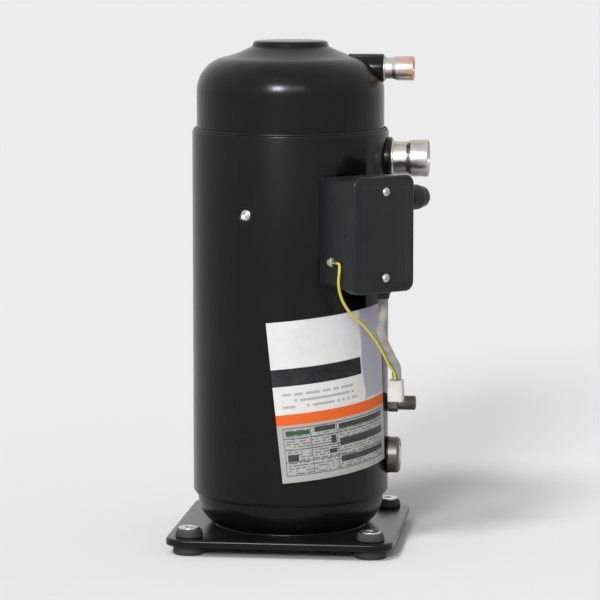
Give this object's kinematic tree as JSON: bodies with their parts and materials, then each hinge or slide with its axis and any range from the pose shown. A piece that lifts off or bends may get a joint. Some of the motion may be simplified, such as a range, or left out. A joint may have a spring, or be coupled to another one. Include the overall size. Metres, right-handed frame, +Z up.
{
  "type": "scroll compressor",
  "caption": "Upright hermetic scroll compressor with welded shell, terminal box, pipe stubs, base plate on rubber feet, motor, shaft and scroll set.",
  "frame": {"origin": "on the shaft axis at the underside of the base plate's centre pad", "axes": "+Z up along the shaft, -Y the front, +X the side of the pipe stubs"},
  "size_m": [0.2699, 0.2572, 0.5312],
  "materials": {
    "black_paint": "satin gloss black paint over drawn steel",
    "stub_steel": "bare steel tube and pressed steel, brazing tint on the stubs",
    "fitting_steel": "plated steel fitting",
    "sight_glass": "thick clear glass, slightly green",
    "bronze": "bearing bronze and brass",
    "box_plastic": "moulded black plastic",
    "zinc_steel": "zinc plated steel",
    "rubber": "black moulded rubber",
    "terminal_moulding": "dark brown phenolic moulding",
    "cable_sleeve": "grey plastic sleeve",
    "earth_insulation": "yellow and green striped insulation",
    "connector_plastic": "ivory nylon housing",
    "label_film": "white film with plain printed bands",
    "machined_iron": "machined cast iron",
    "cast_iron": "cast iron with machined bores",
    "cast_aluminium": "die cast aluminium",
    "ground_steel": "ground steel",
    "lamination_steel": "stacked electrical steel",
    "copper_winding": "enamelled copper, varnished"
  },
  "bodies": {
    "casing": {"shell_tube": "black_paint", "top_cap": "black_paint", "bottom_cap": "black_paint", "base_plate": "black_paint", "suction_stub": "stub_steel", "discharge_stub": "stub_steel", "sight_glass_body": "fitting_steel", "sight_glass_lens": "sight_glass", "oil_service_valve": "fitting_steel", "valve_cap": "fitting_steel", "terminal_box_base": "box_plastic", "terminal_box_cover": "box_plastic", "cover_screw_lower": "zinc_steel", "cover_screw_upper": "zinc_steel", "cable_bushing": "rubber", "conduit_gland": "box_plastic", "earth_screw": "bronze", "earth_lug": "zinc_steel", "hermetic_terminal": "fitting_steel", "terminal_block": "terminal_moulding", "supply_cable": "cable_sleeve", "earth_lead": "earth_insulation", "lead_connector": "connector_plastic", "rating_label": "label_film", "fixed_scroll": "machined_iron", "main_bearing_housing": "cast_iron", "main_bearing_bush": "bronze", "lower_bearing_bush": "bronze", "lower_bearing_bracket": "cast_iron", "stator_core": "lamination_steel", "upper_winding": "copper_winding", "lower_winding": "copper_winding", "separator_plate": "stub_steel", "check_valve_cage": "stub_steel", "grommet_front_right": "rubber", "foot_sleeve_front_right": "zinc_steel", "grommet_rear_right": "rubber", "foot_sleeve_rear_right": "zinc_steel", "grommet_rear_left": "rubber", "foot_sleeve_rear_left": "zinc_steel", "grommet_front_left": "rubber", "foot_sleeve_front_left": "zinc_steel"},
    "shaft": {"crankshaft": "ground_steel", "rotor_core": "lamination_steel", "upper_end_ring": "cast_aluminium", "lower_end_ring": "cast_aluminium", "upper_counterweight": "bronze", "lower_counterweight": "bronze", "oil_pickup": "stub_steel", "drive_bush": "ground_steel"},
    "orbiting_scroll": {"orbiting_scroll": "machined_iron", "drive_bearing": "bronze"},
    "oldham_ring": {"oldham_ring": "cast_aluminium"},
    "floating_seal": {"floating_seal": "machined_iron"},
    "check_valve_disc": {"check_valve_disc": "ground_steel"},
    "valve_core": {"valve_core": "bronze"}
  },
  "joints": [
    {"name": "crank_spin", "type": "hinge", "parent": "casing", "child": "shaft", "pos_m": [0, 0, 0.2], "axis": [0, 0, 1], "continuous": true},
    {"name": "scroll_orbit", "type": "hinge", "parent": "shaft", "child": "orbiting_scroll", "pos_m": [0, 0.00425, 0.335], "axis": [0, 0, 1], "continuous": true},
    {"name": "oldham_slide", "type": "slide", "parent": "casing", "child": "oldham_ring", "axis": [1, 0, 0], "range_m": [-0.0042, 0.0042]},
    {"name": "seal_lift", "type": "slide", "parent": "casing", "child": "floating_seal", "axis": [0, 0, 1], "range_m": [0, 0.0015]},
    {"name": "check_valve_lift", "type": "slide", "parent": "casing", "child": "check_valve_disc", "axis": [0, 0, 1], "range_m": [0, 0.006]},
    {"name": "valve_core_press", "type": "slide", "parent": "casing", "child": "valve_core", "axis": [-1, 0, 0], "range_m": [0, 0.0015]}
  ],
  "couplings": [
    {"joint": "scroll_orbit", "follows": "crank_spin", "ratio": -1}
  ]
}
